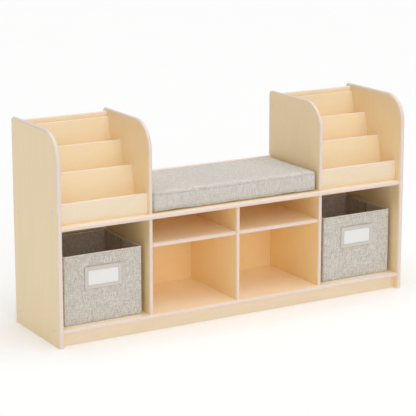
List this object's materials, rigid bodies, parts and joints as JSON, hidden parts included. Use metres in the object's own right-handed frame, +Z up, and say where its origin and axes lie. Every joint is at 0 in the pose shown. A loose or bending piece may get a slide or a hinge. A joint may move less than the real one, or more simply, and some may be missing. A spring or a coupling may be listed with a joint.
{
  "type": "cube storage unit",
  "caption": "Low plywood storage bench with open cube bays, fabric pull-out bins, a seat cushion and a slanted book-display tower at each end.",
  "frame": {"origin": "middle of the footprint, on the floor", "axes": "+X along the bench to its right, +Y to its back (the open bays face -Y), +Z up"},
  "size_m": [1.22, 0.312, 0.632],
  "materials": {
    "birch_plywood": "clear satin lacquer over pale birch veneer, rounded edges",
    "cushion_linen": "plain weave, matt",
    "bin_linen": "slubbed plain weave, matt",
    "bin_lining": "non-woven, matt",
    "label_holder_fabric": "smooth, matt",
    "label_card": "matt white card",
    "zinc_steel": "zinc plated",
    "cap_plastic": "wood-coloured, matt",
    "beech_dowel": "plain beech"
  },
  "bodies": {
    "bench_unit": {"left_end_panel": "birch_plywood", "right_end_panel": "birch_plywood", "bench_board": "birch_plywood", "bottom_board": "birch_plywood", "left_divider": "birch_plywood", "centre_divider": "birch_plywood", "right_divider": "birch_plywood", "lower_back": "birch_plywood", "front_plinth": "birch_plywood", "rear_plinth": "birch_plywood", "left_half_shelf": "birch_plywood", "right_half_shelf": "birch_plywood", "bench_back_rail": "birch_plywood", "left_tower_side": "birch_plywood", "left_tower_back": "birch_plywood", "left_front_rail": "birch_plywood", "left_front_display": "birch_plywood", "left_middle_display": "birch_plywood", "left_rear_display": "birch_plywood", "left_middle_ledge": "birch_plywood", "left_rear_ledge": "birch_plywood", "right_tower_side": "birch_plywood", "right_tower_back": "birch_plywood", "right_front_rail": "birch_plywood", "right_front_display": "birch_plywood", "right_middle_display": "birch_plywood", "right_rear_display": "birch_plywood", "right_middle_ledge": "birch_plywood", "right_rear_ledge": "birch_plywood", "assembly_screws": "zinc_steel", "screw_caps": "cap_plastic", "dowels": "beech_dowel", "display_pins": "beech_dowel", "back_screws": "zinc_steel"},
    "cushion": {"cushion": "cushion_linen"},
    "left_bin": {"left_bin_body": "bin_linen", "left_label_holder": "label_holder_fabric"},
    "left_base_board": {"left_bin_base_board": "bin_lining"},
    "left_card": {"left_label_card": "label_card"},
    "right_bin": {"right_bin_body": "bin_linen", "right_label_holder": "label_holder_fabric"},
    "right_base_board": {"right_bin_base_board": "bin_lining"},
    "right_card": {"right_label_card": "label_card"}
  },
  "joints": [
    {"name": "cushion_lift", "type": "slide", "parent": "bench_unit", "child": "cushion", "axis": [0, 0, 1], "range_m": [0, 0.2]},
    {"name": "left_bin_slide", "type": "slide", "parent": "bench_unit", "child": "left_bin", "axis": [0, -1, 0], "range_m": [0, 0.28]},
    {"name": "left_base_board_lift", "type": "slide", "parent": "left_bin", "child": "left_base_board", "axis": [0, 0, 1], "range_m": [0, 0.21]},
    {"name": "left_card_slide", "type": "slide", "parent": "left_bin", "child": "left_card", "axis": [0, 0, 1], "range_m": [0, 0.062]},
    {"name": "right_bin_slide", "type": "slide", "parent": "bench_unit", "child": "right_bin", "axis": [0, -1, 0], "range_m": [0, 0.28]},
    {"name": "right_base_board_lift", "type": "slide", "parent": "right_bin", "child": "right_base_board", "axis": [0, 0, 1], "range_m": [0, 0.21]},
    {"name": "right_card_slide", "type": "slide", "parent": "right_bin", "child": "right_card", "axis": [0, 0, 1], "range_m": [0, 0.062]}
  ]
}
